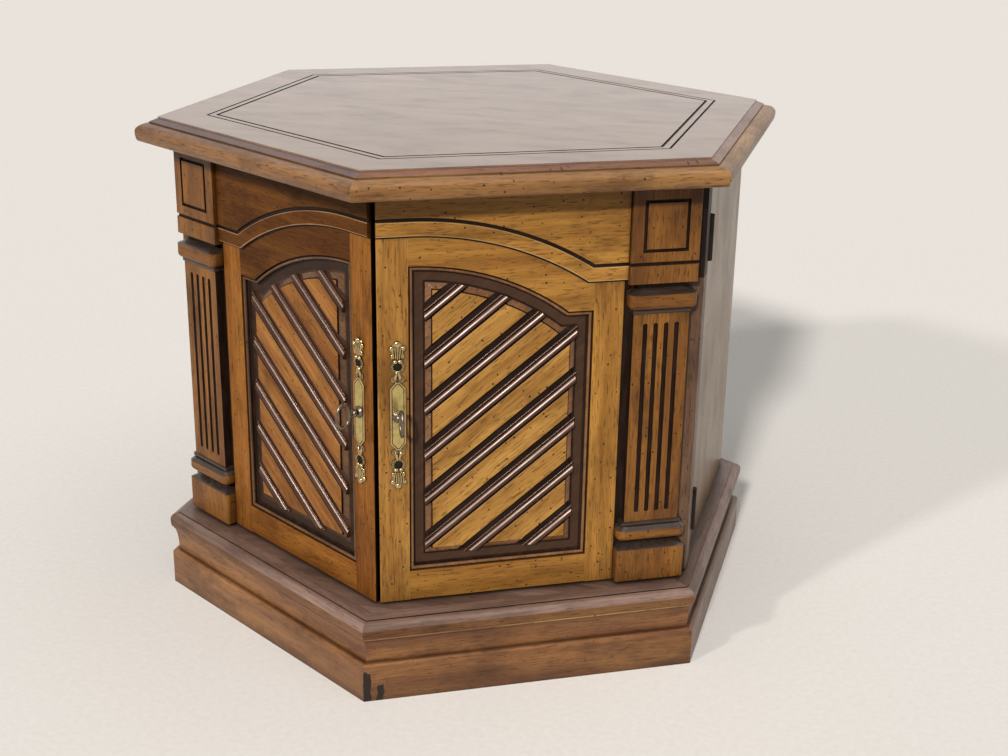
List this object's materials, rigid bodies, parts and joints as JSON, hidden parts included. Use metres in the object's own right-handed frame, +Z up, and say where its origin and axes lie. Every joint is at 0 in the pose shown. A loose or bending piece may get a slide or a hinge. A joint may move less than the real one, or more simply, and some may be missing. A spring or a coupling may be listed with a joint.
{
  "type": "side table cabinet",
  "caption": "Hexagonal wooden side table with a cabinet; carved doors with fluted pilasters and brass key pulls meet at its front corner under a moulded top.",
  "frame": {"origin": "centre of the footprint, on the floor", "axes": "+Z up, the front corner where the doors meet points to -Y, +X to the right of someone facing the front"},
  "size_m": [0.584, 0.6744, 0.508],
  "materials": {
    "wood_top": "satin varnished veneer, greyish where worn",
    "wood_base": "satin stained wood, distressed",
    "wood_walls": "satin stained veneer",
    "wood_door": "satin stained wood with dark specks",
    "wood_carved": "satin stained wood, dark glaze in the grooves",
    "wood_pilaster": "satin stained wood, dark glaze in the flutes",
    "plate_brass": "antique brass, darkened in the recesses",
    "key_brass": "dark antique brass",
    "hinge_bronze": "dark bronze plated",
    "catch_steel": "dull plated steel"
  },
  "bodies": {
    "case": {"back_panel_left": "wood_walls", "back_panel_right": "wood_walls", "base_rail_back_left": "wood_base", "base_rail_back_right": "wood_base", "base_rail_front_left": "wood_base", "base_rail_front_right": "wood_base", "base_rail_left": "wood_base", "base_rail_right": "wood_base", "bottom_panel": "wood_base", "door_catch": "catch_steel", "glue_blocks": "wood_walls", "hinge_case_leaves": "hinge_bronze", "hinge_pins": "hinge_bronze", "nose_moulding_back_left": "wood_base", "nose_moulding_back_right": "wood_base", "nose_moulding_front_left": "wood_base", "nose_moulding_front_right": "wood_base", "nose_moulding_left": "wood_base", "nose_moulding_right": "wood_base", "side_panel_left": "wood_walls", "side_panel_right": "wood_walls", "top_edge_back_left": "wood_top", "top_edge_back_right": "wood_top", "top_edge_front_left": "wood_top", "top_edge_front_right": "wood_top", "top_edge_left": "wood_top", "top_edge_right": "wood_top", "top_panel": "wood_top"},
    "right_door": {"right_bottom_rail": "wood_door", "right_carved_panel": "wood_carved", "right_escutcheon_plate": "plate_brass", "right_fluted_shaft": "wood_pilaster", "right_frieze_board": "wood_door", "right_hinge_leaves": "hinge_bronze", "right_key_pull": "key_brass", "right_meeting_stile": "wood_door", "right_outer_stile": "wood_door", "right_panel_moulding": "wood_door", "right_pilaster_base": "wood_pilaster", "right_pilaster_block": "wood_pilaster", "right_pilaster_capital": "wood_pilaster", "right_plinth_block": "wood_pilaster", "right_strike_plate": "catch_steel", "right_top_rail": "wood_door"},
    "left_door": {"left_bottom_rail": "wood_door", "left_carved_panel": "wood_carved", "left_escutcheon_plate": "plate_brass", "left_fluted_shaft": "wood_pilaster", "left_frieze_board": "wood_door", "left_hinge_leaves": "hinge_bronze", "left_key_pull": "key_brass", "left_meeting_stile": "wood_door", "left_outer_stile": "wood_door", "left_panel_moulding": "wood_door", "left_pilaster_base": "wood_pilaster", "left_pilaster_block": "wood_pilaster", "left_pilaster_capital": "wood_pilaster", "left_plinth_block": "wood_pilaster", "left_strike_plate": "catch_steel", "left_top_rail": "wood_door"}
  },
  "joints": [
    {"name": "right_door_hinge", "type": "hinge", "parent": "case", "child": "right_door", "pos_m": [0.2677, -0.10467, 0], "axis": [0, 0, 1], "range_deg": [0, 170]},
    {"name": "left_door_hinge", "type": "hinge", "parent": "case", "child": "left_door", "pos_m": [-0.2677, -0.10467, 0], "axis": [0, 0, -1], "range_deg": [0, 170]}
  ]
}
